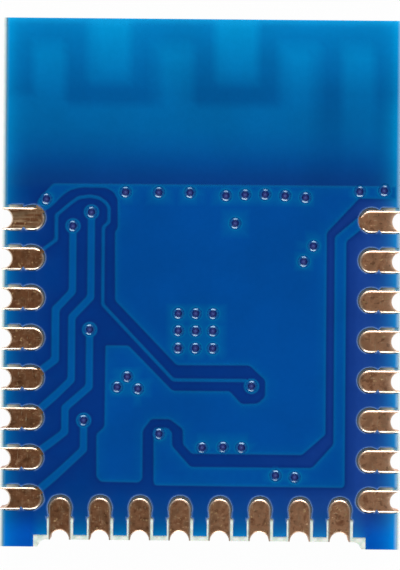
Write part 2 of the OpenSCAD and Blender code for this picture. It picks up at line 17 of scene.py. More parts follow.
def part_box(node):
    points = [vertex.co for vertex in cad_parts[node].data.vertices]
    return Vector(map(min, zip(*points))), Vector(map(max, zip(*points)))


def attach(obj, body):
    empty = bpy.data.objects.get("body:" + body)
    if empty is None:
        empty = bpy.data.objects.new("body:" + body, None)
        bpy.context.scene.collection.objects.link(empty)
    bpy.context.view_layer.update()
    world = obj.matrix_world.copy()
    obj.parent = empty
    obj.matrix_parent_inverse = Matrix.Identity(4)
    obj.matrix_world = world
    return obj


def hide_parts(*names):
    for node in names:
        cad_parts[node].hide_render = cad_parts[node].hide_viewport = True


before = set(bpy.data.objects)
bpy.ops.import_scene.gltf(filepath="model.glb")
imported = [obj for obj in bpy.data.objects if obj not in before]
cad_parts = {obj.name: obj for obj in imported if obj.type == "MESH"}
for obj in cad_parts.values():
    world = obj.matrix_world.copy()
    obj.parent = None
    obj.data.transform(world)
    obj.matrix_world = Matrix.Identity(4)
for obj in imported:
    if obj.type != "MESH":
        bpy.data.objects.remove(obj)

LOG = logging.getLogger("module")
MM = 0.001
BODY = "root"
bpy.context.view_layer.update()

ROWS = range(1, 9)  # Terminals on one edge.
HALF_WIDTH = 7.5  # Of the board, in millimetres.
WELD = 2e-7  # Points of a CAD mesh that are this near are one, in metres.
SLACK = 0.002  # Heights that are this near are one level, in millimetres.
EQUAL = 1e-6  # Distances that are this near are the same, in millimetres.
FLAT, UPRIGHT = 0.99, 0.2  # Least and most Z of the normal of a flat and of an upright face.
NO_FILM = -1e3  # Height where the film is open.
CHUNK = 2000  # Points measured at a time.
USUAL = (0.3, 0.7)  # Range that a noise mostly keeps to.
DOWN = Vector((0, 0, -1))

Rgba = tuple[float, float, float, float]
Band = tuple[float, ...]  # Mostly a range, then what it maps to if that isn't 0 to 1.
Face = tuple[int, ...]
Socket = bpy.types.NodeSocket
Material = bpy.types.Material
Object = bpy.types.Object
Array = np.ndarray


class Side(Enum):
    """A face of the board; the value is the sign of its outward Z."""

    SOLDER = 1
    COMPONENT = -1


class Edge(Enum):
    """An edge of the board that carries terminals; the value is the turn of a terminal there."""

    LEFT = 0.0
    END = math.pi / 2
    RIGHT = math.pi


def srgb(*display: int) -> Rgba:
    """Turns a display colour, its red, green and blue from 0 to 255, into the linear one that shaders use."""
    shares = [value / 255 for value in display]
    return (*(s / 12.92 if s <= 0.04045 else ((s + 0.055) / 1.055) ** 2.4 for s in shares), 1.0)


class Tree:
    """Builder of nodes in the tree of a material or a world."""

    def __init__(self, owner: Material | bpy.types.World) -> None:
        """Empties the owner's tree.

        Args:
            owner: Material or world.
        """
        owner.use_nodes = True
        self.nodes, self.links = owner.node_tree.nodes, owner.node_tree.links
        self.nodes.clear()

    def feed(self, socket: Socket, value: object) -> None:
        """Links a socket to another one, or sets its value."""
        if isinstance(value, bpy.types.NodeSocket):
            self.links.new(value, socket)
        else:
            socket.default_value = value

    def node(self, kind: str, inputs: dict[int | str, object] | None = None,
             **settings: object) -> bpy.types.Node:
        """Adds a node.

        Args:
            kind: Blender's name of the node, after ShaderNode.
            inputs: Values or sockets, by the number or name of the input.
            settings: The node's own settings.

        Returns:
            The node.
        """
        knot = self.nodes.new("ShaderNode" + kind)
        for name, value in settings.items():
            setattr(knot, name, value)
        for key, value in (inputs or {}).items():
            self.feed(knot.inputs[key], value)
        return knot

    def ramp(self, factor: object, stops: tuple[tuple[float, Rgba], ...]) -> Socket:
        """Runs a value through a row of colours.

        Args:
            factor: Value from 0 to 1.
            stops: Places and colours, in order.

        Returns:
            The colour's socket.
        """
        knot = self.node("ValToRGB", {0: factor})
        band = knot.color_ramp
        while len(band.elements) < len(stops):
            band.elements.new(1.0)
        for element, (place, colour) in zip(band.elements, stops):
            element.position = place
            element.color = colour
        return knot.outputs[0]


class Graph(Tree):
    """Tree of one material, around a principled shader."""

    def __init__(self, name: str) -> None:
        """Starts a material.

        Args:
            name: Name of the material.
        """
        self.material = bpy.data.materials.new(name)
        super().__init__(self.material)
        self.shader = self.node("BsdfPrincipled")
        self.output = self.node("OutputMaterial", {"Surface": self.shader.outputs[0]})
        coords = self.node("TexCoord").outputs["Object"]
        self.place = self.node("VectorMath", {0: coords, "Scale": 1 / MM}, operation="SCALE").outputs[0]

    def set(self, **values: object) -> None:
        """Sets inputs of the shader; a name is the input's, in lower case with underscores."""
        names = {socket.name.lower().replace(" ", "_"): socket for socket in self.shader.inputs}
        for name, value in values.items():
            self.feed(names[name], value)

    def axes(self, vector: Socket | None = None) -> list[Socket]:
        """Gives the x, y and z of a vector, or of the place on the part in millimetres."""
        return list(self.node("SeparateXYZ", {0: vector or self.place}).outputs)

    def paint(self) -> list[Socket]:
        """Gives the four values that are painted on the points of a new piece."""
        layer = self.node("Attribute", attribute_name="paint").outputs
        return [*self.node("SeparateColor", {0: layer["Color"]}).outputs, layer["Alpha"]]

    def math(self, operation: str, first: object, second: object = 0.0) -> Socket:
        """Adds a maths node for one or two numbers or sockets."""
        return self.node("Math", {0: first, 1: second}, operation=operation).outputs[0]

    def times(self, first: object, second: object) -> Socket:
        """Multiplies two numbers or sockets."""
        return self.math("MULTIPLY", first, second)

    def rest(self, share: Socket) -> Socket:
        """Gives what a share leaves of 1."""
        return self.math("SUBTRACT", 1.0, share)

    def wave(self, place: Socket, pitch: float, shift: object = 0.0) -> Socket:
        """Makes a sine wave along a place, of a pitch in millimetres."""
        return self.math("SINE", self.math("ADD", self.times(place, 2 * math.pi / pitch), shift))

    def span(self, value: Socket, low: float, high: float, start: float = 0.0, end: float = 1.0,
             curve: str = "SMOOTHSTEP") -> Socket:
        """Maps a value from low and high to start and end, along one of Blender's curves."""
        inputs = dict(enumerate((value, low, high, start, end)))
        return self.node("MapRange", inputs, interpolation_type=curve).outputs[0]

    def around(self, noise: Socket, middle: float, less: float, more: float) -> Socket:
        """Lets a value vary with a noise, from a little less than its middle to a little more."""
        return self.span(noise, *USUAL, middle - less, middle + more)

    def mix(self, factor: object, first: object, second: object, blend: str = "MIX") -> Socket:
        """Blends two colours by the share of the second, in one of Blender's ways."""
        inputs = {0: factor, 6: first, 7: second}
        return self.node("Mix", inputs, data_type="RGBA", blend_type=blend).outputs[2]

    def noise(self, per_mm: float, detail: float = 2.0, stretch: Band | None = None) -> Socket:
        """Adds a noise that is fixed to the part.

        Args:
            per_mm: Waves in a millimetre.
            detail: Octaves of finer noise.
            stretch: Scale of each axis, for grain and scratches.

        Returns:
            The noise's socket, around 0.5.
        """
        place = self.place
        if stretch:
            place = self.node("VectorMath", {0: place, 1: stretch}, operation="MULTIPLY").outputs[0]
        return self.node("TexNoise", {"Vector": place, "Scale": per_mm, "Detail": detail}).outputs[0]

    def bump(self, height: Socket, depth_mm: float) -> None:
        """Roughens the shader's normal by a height whose full step has a depth."""
        knot = self.node("Bump", {"Distance": depth_mm * MM, "Height": height})
        self.set(normal=knot.outputs[0])


class Finish(Protocol):
    """What makes a material."""

    def material(self) -> Material:
        """Makes the material."""


@dataclass(frozen=True)
class FilmFinish:
    """Blue solder mask: lighter over copper, teal where it thins, navy over the laminate and darker beside
    the foot of a step.
    """

    name: str = "blue_film"
    over_copper: Rgba = srgb(1, 71, 146)
    thin: Rgba = srgb(2, 104, 156)
    over_laminate: Rgba = srgb(2, 53, 126)
    right_laminate: Rgba = srgb(26, 61, 138)
    # Darker navy over the laminate, strongest beside the foot of a copper step.
    step_foot_navy: Rgba = srgb(8, 42, 114)
    # Painted highlight along the film's rims round the pads and at the spurs' tips.
    rim: Rgba = srgb(112, 142, 192)
    # Painted light through the laminate: deeper azure in the corner tabs, pale at the board's side edges, a
    # glow along the edges and a ramp over the antenna end; shade is the antenna's painted shadow.
    tab: Rgba = srgb(1, 76, 172)
    painted_edge_light: Rgba = srgb(98, 160, 186)
    right_edge: Rgba = srgb(152, 182, 204)
    glint: Rgba = (0.25, 0.8, 1.0, 1.0)
    glow: Rgba = (0.0, 0.2, 0.34, 1.0)
    shade: Rgba = (0.6, 0.64, 0.76, 1.0)
    painted_backlight: tuple[tuple[float, Rgba], ...] = (
        (0.0, srgb(8, 56, 124)), (0.06, srgb(6, 61, 128)), (0.13, srgb(3, 70, 138)),
        (0.22, srgb(2, 83, 148)), (0.34, srgb(1, 94, 156)), (0.55, srgb(1, 101, 163)),
        (0.72, srgb(1, 117, 179)), (0.86, srgb(1, 132, 194)), (0.94, srgb(2, 143, 205)),
        (1.0, srgb(14, 156, 218)))
    zone_y: Band = (3.7, 9.92)
    zone_start: Band = (3.4, 3.8)
    right: Band = (0.0, HALF_WIDTH)
    tab_in: Band = (1.75, 1.05)
    tab_y: Band = (-8.555, -9.555)
    step_y: float = -9.655
    edge_light_in: Band = (0.24, 0.06)
    side_reach: float = 0.3
    end_reach: float = 0.45
    # The painted glow is stronger on the right half, below about 7 mm up the board.
    bright_y: Band = (7.3, 6.3, 0.0, 0.6)
    step_foot_power: float = 0.44
    drift: Band = (*USUAL, 0.93, 1.06)
    speck: Band = (*USUAL, 0.985, 1.015)
    gloss: float = 0.09
    roughness: float = 0.44
    play: Band = (0.02, 0.02)
    grain: float = 0.001
    # Whether light through the laminate is painted on.
    paints_backlight: bool = True

    def material(self) -> Material:
        """Makes the material.

        Returns:
            The film's material; it reads the points' paint: copper below, nearness to a step, painted rim
            highlight, painted antenna shadow.
        """
        graph = Graph(self.name)
        copper, near, rim, shadow = graph.paint()
        clear = graph.mix(graph.span(graph.axes()[0], *self.right), self.over_laminate, self.right_laminate)
        clear = graph.mix(graph.math("POWER", near, self.step_foot_power), clear, self.step_foot_navy)
        # Painted light and the antenna's painted shadow, as seen through the laminate.
        if self.paints_backlight:
            clear = self._paint_backlight(graph, clear, shadow)
        covered = graph.mix(near, self.over_copper, self.thin)
        # The rim colour is a painted highlight.
        colour = graph.mix(rim, graph.mix(copper, clear, covered), self.rim)
        tone = graph.times(graph.span(graph.noise(0.35, 3.0), *self.drift),
                           graph.span(graph.noise(5.0, 3.0), *self.speck))
        graph.set(base_color=graph.mix(1.0, colour, tone, "MULTIPLY"),
                  roughness=graph.around(graph.noise(2.5), self.roughness, *self.play),
                  specular_ior_level=self.gloss, specular_tint=self.glint)
        graph.bump(graph.noise(3.0, 4.0), self.grain)
        return graph.material

    def _paint_backlight(self, graph: Graph, clear: Socket, shadow: Socket) -> Socket:
        """Paints on the light that comes through the laminate: in the antenna end and along the edges.

        Args:
            graph: Tree to build in.
            clear: Colour of the film over laminate.
            shadow: Shadow of the antenna behind the laminate.

        Returns:
            The colour with the painted light added.
        """
        x, y, _ = graph.axes()
        height = graph.span(y, *self.zone_y, curve="LINEAR")
        lit = graph.mix(shadow, graph.ramp(height, self.painted_backlight), self.shade, "MULTIPLY")
        clear = graph.mix(graph.span(y, *self.zone_start), clear, lit)
        across = graph.math("SUBTRACT", HALF_WIDTH, graph.math("ABSOLUTE", x))
        below = graph.math("SUBTRACT", y, self.step_y)
        tab = graph.span(across, *self.tab_in)
        clear = graph.mix(graph.times(tab, graph.span(y, *self.tab_y)), clear, self.tab)
        side, end = (graph.math("EXPONENT", graph.math("DIVIDE", graph.math("MAXIMUM", gap, 0.0), -reach))
                     for gap, reach in ((across, self.side_reach), (below, self.end_reach)))
        end = graph.times(end, graph.rest(tab))
        brighter = graph.times(graph.span(y, *self.bright_y), graph.math("GREATER_THAN", x, 0.0))
        side = graph.times(side, graph.math("ADD", brighter, 1.0))
        clear = graph.mix(graph.math("MAXIMUM", side, end), clear, self.glow, "ADD")
        # Painted light at the board's side edges, paler on the right.
        edge_lit = graph.mix(graph.span(x, *self.right), self.painted_edge_light, self.right_edge)
        return graph.mix(graph.span(across, *self.edge_light_in), clear, edge_lit)


@dataclass(frozen=True)
class ViaFinish:
    """Wet-looking blue resin that has sunk into a via: a bright lip, or the dark plug with a painted
    highlight in its middle.
    """

    name: str
    colour: Rgba
    other: Rgba
    roughness: float
    gloss: float
    # Painted highlight in the plug's middle, where the paint's fourth value is high.
    middle: Rgba
    glint: Rgba = (0.72, 0.93, 1.0, 1.0)
    blend: Band = (0.35, 0.65)
    play: Band = (0.04, 0.06)

    def material(self) -> Material:
        """Makes the material."""
        graph = Graph(self.name)
        colour = graph.mix(graph.span(graph.noise(14.0), *self.blend), self.colour, self.other)
        graph.set(base_color=graph.mix(graph.paint()[3], colour, self.middle),
                  roughness=graph.around(graph.noise(20.0), self.roughness, *self.play),
                  specular_ior_level=self.gloss, specular_tint=self.glint)
        return graph.material


@dataclass(frozen=True)
class LaminateFinish:
    """Glass cloth in pale resin: a faint weave on the faces and fibre layers on the cut edges."""

    name: str = "glass_laminate"
    resin: Rgba = srgb(214, 222, 208)
    fibre: Rgba = srgb(238, 238, 226)
    shade: Rgba = srgb(170, 176, 156)
    # Painted shade in the grooves between the pads and the film, paler towards the board's side edges.
    groove: Rgba = srgb(76, 81, 87)
    groove_end: Rgba = srgb(178, 172, 156)
    # Bare strips at the side edges: bluish beside the film, then painted lighter out to the cut edge, as
    # light shows through there.
    strip: Rgba = srgb(96, 150, 176)
    cut: Rgba = srgb(240, 243, 236)
    layer_pitch: float = 0.11
    weave_pitch: float = 0.42
    wobble: float = 1.6
    flat: Band = (0.4, 0.8)
    threads: Band = (-0.9, 0.9)
    shaded: Band = (0.55, 0.8, 0.0, 0.5)
    cut_x: Band = (7.36, HALF_WIDTH)
    strip_x: Band = (7.14, 7.3)
    groove_x: Band = (6.67, 7.17)
    neck_y: Band = (-8.95, -8.75)
    core_z: float = 1.3
    rough: Band = (*USUAL, 0.45, 0.7)
    gloss: float = 0.4
    milky: float = 0.12
    milky_depth: float = 0.3 * MM
    grain: float = 0.006

    def material(self) -> Material:
        """Makes the material.

        Returns:
            The laminate's material; between the pads and the film its upper face lies in shade, as a groove.
        """
        graph = Graph(self.name)
        x, y, z = graph.axes()
        layers = graph.wave(z, self.layer_pitch, graph.times(graph.noise(1.5), self.wobble))
        weave = graph.times(graph.wave(x, self.weave_pitch), graph.wave(y, self.weave_pitch))
        upright = graph.axes(graph.node("NewGeometry").outputs["Normal"])[2]
        face = graph.span(graph.math("ABSOLUTE", upright), *self.flat)
        pattern = graph.math("ADD", graph.times(weave, face), graph.times(layers, graph.rest(face)))
        strands = graph.noise(6.0, 4.0, (1.0, 1.0, 6.0))
        colour = graph.mix(graph.span(pattern, *self.threads), self.resin, self.fibre)
        colour = graph.mix(graph.span(strands, *self.shaded), colour, self.shade)
        across = graph.math("ABSOLUTE", x)
        # Painted light on the bare strips at the side edges.
        outside = graph.span(across, *self.strip_x)
        ledge = graph.mix(graph.span(across, *self.cut_x), self.strip, self.cut)
        colour = graph.mix(graph.times(outside, face), colour, ledge)
        inside = graph.times(graph.rest(outside), graph.span(y, *self.neck_y))
        upper = graph.times(face, graph.math("GREATER_THAN", z, self.core_z))
        # Painted shade in the grooves, paler towards the side edges.
        groove = graph.mix(graph.span(across, *self.groove_x), self.groove, self.groove_end)
        colour = graph.mix(graph.times(inside, upper), colour, groove)
        graph.set(base_color=colour, roughness=graph.span(strands, *self.rough),
                  specular_ior_level=self.gloss, subsurface_weight=self.milky,
                  subsurface_scale=self.milky_depth)
        graph.bump(graph.math("ADD", pattern, strands), self.grain)
        return graph.material


@dataclass(frozen=True)
class TerminalFinish:
    """Thin gold over copper, rubbed and tarnished; browner to the left and paler to the right, partly tarnish
    and partly painted light from the right.
    """

    name: str = "rubbed_plating"
    # Browner to the left, paler to the right: partly tarnish, partly painted light from the right.
    left: Rgba = srgb(188, 126, 86)
    right: Rgba = srgb(246, 178, 134)
    tarnish: Rgba = srgb(120, 70, 42)
    pale: Rgba = srgb(230, 174, 132)
    worn: Rgba = srgb(246, 222, 178)
    # Cream of the outline: rubbed edges and a painted highlight where the rounded edges catch the lamps.
    rim: Rgba = srgb(255, 246, 228)
    # Cream of the half-hole's lip: a painted highlight of the rounded lip.
    lip: Rgba = srgb(240, 214, 190)
    streaked: Rgba = srgb(236, 196, 152)
    # Golden flecks: painted glints on the grainy plating.
    fleck: Rgba = srgb(255, 204, 146)
    across: Band = (-7.0, 7.0)
    blotched: Band = (0.46, 0.7, 0.0, 0.8)
    bleached: Band = (0.52, 0.7, 0.0, 0.5)
    stained: Band = (0.46, 0.3, 0.0, 0.55)
    flecked: Band = (0.66, 0.74, 0.0, 0.8)
    scratched: Band = (0.6, 0.74)
    rubbed: Band = (0.62, 0.76)
    streaks: Band = (0.42, 0.64, 0.0, 0.7)
    first_x: Band = (-5.3, -5.5)
    first_y: Band = (1.7, 1.9)
    # How strongly the lip's painted highlight shows: full on the left pads, wider and fainter on the right.
    left_lip: Band = (-6.5, -5.9, 1.0, 0.3)
    right_lip: Band = (5.9, 6.5, 0.0, 0.6)
    mark: float = 0.55
    mark_depth: float = -0.5
    edge_rub_and_glint: float = 0.5
    metal: Band = (0.0, 1.0, 0.86, 0.1)
    rough: Band = (0.3, 0.75, 0.28, 0.48)
    grain: float = 0.004

    def material(self) -> Material:
        """Makes the material.

        Returns:
            The plating's material; it reads the points' paint: rubbed outline with a painted highlight,
            painted lip highlight, wider painted lip highlight.
        """
        graph = Graph(self.name)
        x, y, _ = graph.axes()
        blotch, stain = graph.noise(2.4, 4.0), graph.noise(5.5, 3.0)
        scratch = graph.span(graph.noise(3.0, 3.0, (9.0, 1.2, 1.0)), *self.scratched)
        rub = graph.span(graph.noise(2.2, 3.0, (1.3, 10.0, 1.0)), *self.rubbed)
        marks = graph.math("MAXIMUM", scratch, rub)
        first = graph.times(graph.span(y, *self.first_y), graph.span(x, *self.first_x))
        streak = graph.span(graph.noise(1.4, 2.0, (0.8, 9.0, 1.0)), *self.streaks)
        edge, lip, soft, _ = graph.paint()
        # The lip's colour is a painted highlight.
        lip = graph.math("MAXIMUM", graph.times(lip, graph.span(x, *self.left_lip)),
                         graph.times(soft, graph.span(x, *self.right_lip)))
        colour = graph.mix(graph.span(x, *self.across), self.left, self.right)
        for share, other in ((graph.span(blotch, *self.blotched), self.tarnish),
                             (graph.span(stain, *self.bleached), self.pale),
                             (graph.span(stain, *self.stained), self.tarnish),
                             (graph.span(graph.noise(7.0, 1.0), *self.flecked), self.fleck),
                             (graph.times(marks, self.mark), self.worn),
                             (graph.times(first, streak), self.streaked),
                             (graph.times(edge, self.edge_rub_and_glint), self.rim),
                             (lip, self.lip)):
            colour = graph.mix(share, colour, other)
        graph.set(base_color=colour, metallic=graph.span(lip, *self.metal),
                  roughness=graph.span(blotch, *self.rough))
        graph.bump(graph.math("ADD", graph.noise(8.0, 4.0), graph.times(marks, self.mark_depth)), self.grain)
        return graph.material


@dataclass(frozen=True)
class MetalFinish:
    """A small metal surface with grain, stain and fine scratches."""

    name: str
    bright: Rgba
    stain: Rgba
    roughness: float
    grain: float = 6.0
    stretch: Band = (1.0, 1.0, 1.0)
    depth: float = 0.004
    stained: Band = (0.4, 0.75, 0.0, 0.8)
    play: Band = (0.08, 0.12)

    def material(self) -> Material:
        """Makes the material."""
        graph = Graph(self.name)
        cloud, grain = graph.noise(1.8, 4.0), graph.noise(self.grain, 4.0, self.stretch)
        tone = graph.times(graph.math("ADD", cloud, grain), 0.5)
        graph.set(base_color=graph.mix(graph.span(cloud, *self.stained), self.bright, self.stain),
                  metallic=1.0, roughness=graph.around(tone, self.roughness, *self.play))
        graph.bump(grain, self.depth)
        return graph.material


@dataclass(frozen=True)
class MouldedFinish:
    """A ceramic or resin body with fine grains of filler."""

    name: str
    base: Rgba
    grains: Rgba
    roughness: float
    grain: float = 16.0
    share: float = 0.35
    depth: float = 0.006
    gloss: float = 0.45
    grained: Band = (0.45, 0.75)
    clouded: Band = (0.5, 0.8, 0.0, 0.15)
    play: Band = (0.06, 0.08)

    def material(self) -> Material:
        """Makes the material."""
        graph = Graph(self.name)
        fine, cloud = graph.noise(self.grain, 4.0), graph.noise(1.6, 3.0)
        amount = graph.math("ADD", graph.times(graph.span(fine, *self.grained), self.share),
                            graph.span(cloud, *self.clouded))
        graph.set(base_color=graph.mix(amount, self.base, self.grains), specular_ior_level=self.gloss,
                  roughness=graph.around(cloud, self.roughness, *self.play))
        graph.bump(fine, self.depth)
        return graph.material


@dataclass(frozen=True)
class FloorFinish:
    """White paper that shows white to the eye and keeps the part's shadow."""

    name: str = "white_paper"
    paper: Rgba = (0.93, 0.93, 0.93, 1.0)
    fibre: Rgba = (0.9, 0.9, 0.9, 1.0)
    fibres: Band = (*USUAL, 0.985, 1.0)
    roughness: float = 0.9
    gloss: float = 0.1
    lift: float = 0.97

    def material(self) -> Material:
        """Makes the material."""
        graph = Graph(self.name)
        shade = graph.mix(graph.span(graph.noise(3.0, 3.0), *self.fibres), self.fibre, self.paper)
        graph.set(base_color=shade, roughness=self.roughness, specular_ior_level=self.gloss)
        path = graph.node("LightPath").outputs
        seen = graph.math("MAXIMUM", path["Is Camera Ray"], path["Is Glossy Ray"])
        seen = graph.math("MAXIMUM", seen, path["Is Transmission Ray"])
        mixer = graph.node("MixShader", {0: graph.times(seen, self.lift), 1: graph.shader.outputs[0],
                                         2: graph.node("Emission").outputs[0]})
        graph.feed(graph.output.inputs["Surface"], mixer.outputs[0])
        return graph.material


@dataclass
class Piece:
    """Mesh of a new piece, in millimetres until it becomes an object."""

    name: str
    points: list[tuple[float, float, float]] = field(default_factory=list)
    faces: list[Face] = field(default_factory=list)
    slots: list[int] = field(default_factory=list)
    paint: list[Array] = field(default_factory=list)

    def add(self, points: Array, faces: list[Face], slots: int | list[int] = 0,
            paint: Array | Rgba = (0.0, 0.0, 0.0, 0.0)) -> int:
        """Adds points and faces.

        Args:
            points: Places in millimetres, one row each.
            faces: Faces as numbers of the new points.
            slots: Number of the material, for all the faces or for each.
            paint: Four values of the attribute paint, for all the points or for each.

        Returns:
            Number of the first new point.
        """
        first = len(self.points)
        self.points.extend(map(tuple, points))
        self.faces.extend(tuple(first + index for index in face) for face in faces)
        self.slots.extend([slots] * len(faces) if isinstance(slots, int) else slots)
        self.paint.append(np.broadcast_to(np.asarray(paint, dtype=np.float32), (len(points), 4)))
        return first

    def make(self, materials: list[Material], slot: str, *nodes: str) -> Object:
        """Turns the mesh into an object that rides on the part.

        Args:
            materials: Materials, in the order of their numbers.
            slot: Not used.
            nodes: CAD nodes that the piece stands for.

        Returns:
            The object.
        """
        mesh = bpy.data.meshes.new(self.name)
        mesh.from_pydata((MM * np.array(self.points)).tolist(), [], self.faces)
        mesh.polygons.foreach_set("material_index", self.slots)
        mesh.polygons.foreach_set("use_smooth", [True] * len(self.faces))
        for material in materials:
            mesh.materials.append(material)
        layer = mesh.color_attributes.new("paint", "FLOAT_COLOR", "POINT")
        layer.data.foreach_set("color", np.concatenate(self.paint).ravel())
        mesh.update()
        piece = bpy.data.objects.new(self.name, mesh)
        bpy.context.scene.collection.objects.link(piece)
        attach(piece, BODY)
        if nodes:
            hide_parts(*nodes)
        LOG.info("piece %s: %d faces", self.name, len(self.faces))
        return piece


def quads(rows: int, columns: int, closed: bool = False) -> list[Face]:
    """Joins points that lie in rows into four-sided faces; in a closed row the last point joins the first."""
    steps = [(step, (step + 1) % columns) for step in range(columns if closed else columns - 1)]
    return [(low + a, low + b, low + columns + b, low + columns + a)
            for low in range(0, (rows - 1) * columns, columns) for a, b in steps]


def distances(points: Array, segments: Array) -> Array:
    """Measures from each point to the nearest of some segments.

    Args:
        points: Places, one row of x and y each.
        segments: Rows that start with x, y, x, y of the two ends.

    Returns:
        One distance a point.
    """
    start, along = segments[:, :2], segments[:, 2:4] - segments[:, :2]
    length = np.maximum((along ** 2).sum(1), EQUAL ** 2)
    result = np.empty(len(points))
    for first in range(0, len(points), CHUNK):
        gap = points[first:first + CHUNK, None, :] - start[None]
        share = np.clip((gap * along[None]).sum(2) / length, 0, 1)
        result[first:first + CHUNK] = np.sqrt(((gap - share[..., None] * along[None]) ** 2).sum(2).min(1))
    return result


def nearest(points: Array, others: Array) -> Array:
    """Measures from each point to the nearest of some others."""
    return np.sqrt(((points[:, None, :] - others[None]) ** 2).sum(2)).min(1)


def smooth(share: Array) -> Array:
    """Eases a share from 0 to 1."""
    share = np.clip(share, 0, 1)
    return share * share * (3 - 2 * share)


def within(value: Array, low: float, high: float, start: float, end: float) -> Array:
    """Gives 1 between two limits, easing in over a start and out over an end."""
    return smooth((value - low) / start) * smooth((high - value) / end)


def fall(gap: Array, reach: float) -> Array:
    """Falls from 1 at no gap to 0 at the reach."""
    return (1 - np.clip(gap / reach, 0, 1)) ** 2


def bell(gap: Array | float, reach: float) -> Array:
    """Falls from 1 at no gap in the shape of a bell."""
    return np.exp(-(gap / reach) ** 2)


def spokes(count: int) -> Array:
    """Spreads directions evenly round a circle, one row of x and y each."""
    turns = np.arange(count) * 2 * math.pi / count
    return np.stack([np.cos(turns), np.sin(turns)], 1)


def box_mm(node: str) -> Array:
    """Gives the low and the high corner of a CAD node, in millimetres."""
    return np.array([tuple(corner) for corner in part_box(node)]) / MM


def solid_of(*nodes: str) -> bmesh.types.BMesh:
    """Gathers the CAD meshes of some nodes.

    Args:
        nodes: Names of the nodes.

    Returns:
        One mesh in metres, its doubled points welded.
    """
    solid = bmesh.new()
    for node in nodes:
        solid.from_mesh(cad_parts[node].data)
    bmesh.ops.remove_doubles(solid, verts=solid.verts, dist=WELD)
    return solid


def tree_of(*nodes: str) -> BVHTree:
    """Makes a search tree, in metres, of the CAD meshes of some nodes."""
    solid = solid_of(*nodes)
    tree = BVHTree.FromBMesh(solid)
    solid.free()
    return tree


def middles(node: str) -> Array:
    """Finds the middle of each separate solid of a node.

    Args:
        node: Name of the CAD node.

    Returns:
        One row of x and y in millimetres for each solid.
    """
    solid = solid_of(node)
    left, found = set(solid.verts), []
    while left:
        group, edge = set(), [left.pop()]
        while edge:
            point = edge.pop()
            group.add(point)
            beside = {link.other_vert(point) for link in point.link_edges} & left
            left -= beside
            edge.extend(beside)
        place = np.array([point.co[:2] for point in group]) / MM
        found.append((place.min(0) + place.max(0)) / 2)
    solid.free()
    return np.array(found)


